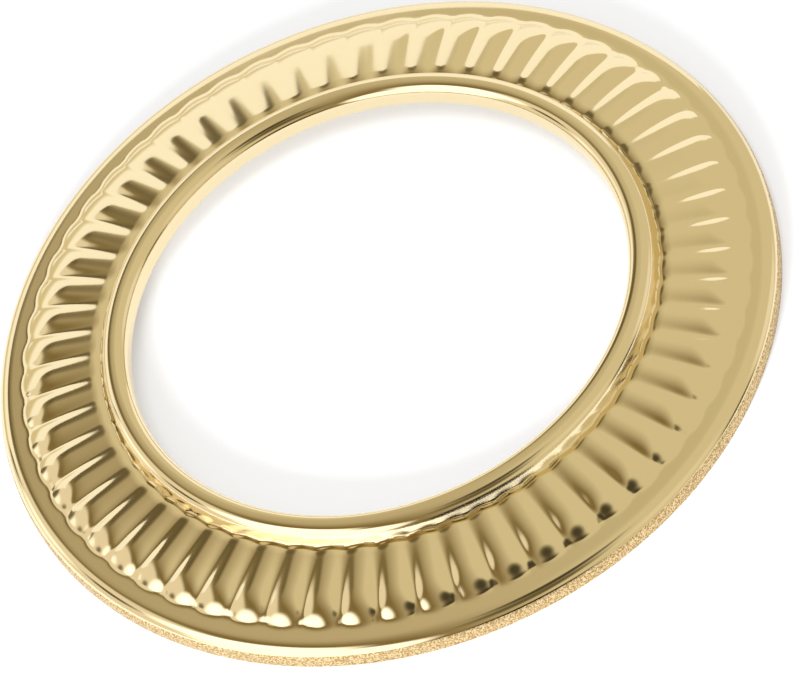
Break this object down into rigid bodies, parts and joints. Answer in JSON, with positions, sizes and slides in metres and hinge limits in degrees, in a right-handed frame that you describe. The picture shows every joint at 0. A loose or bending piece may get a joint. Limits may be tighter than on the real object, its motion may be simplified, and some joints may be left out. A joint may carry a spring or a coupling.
{
  "type": "vent pipe trim collar",
  "caption": "Round pressed brass trim collar with radial flutes and a beaded central opening, slid over a vent pipe to cover the gap where it passes a wall or ceiling.",
  "frame": {"origin": "on the pipe's axis, in the plane of the lip's bottom edge", "axes": "+Z along the pipe's axis, out of the fluted face; +X through the crest of one flute"},
  "size_m": [0.24, 0.24, 0.015],
  "materials": {
    "polished_brass": "polished"
  },
  "bodies": {
    "root": {"trim_collar": "polished_brass"}
  },
  "joints": []
}
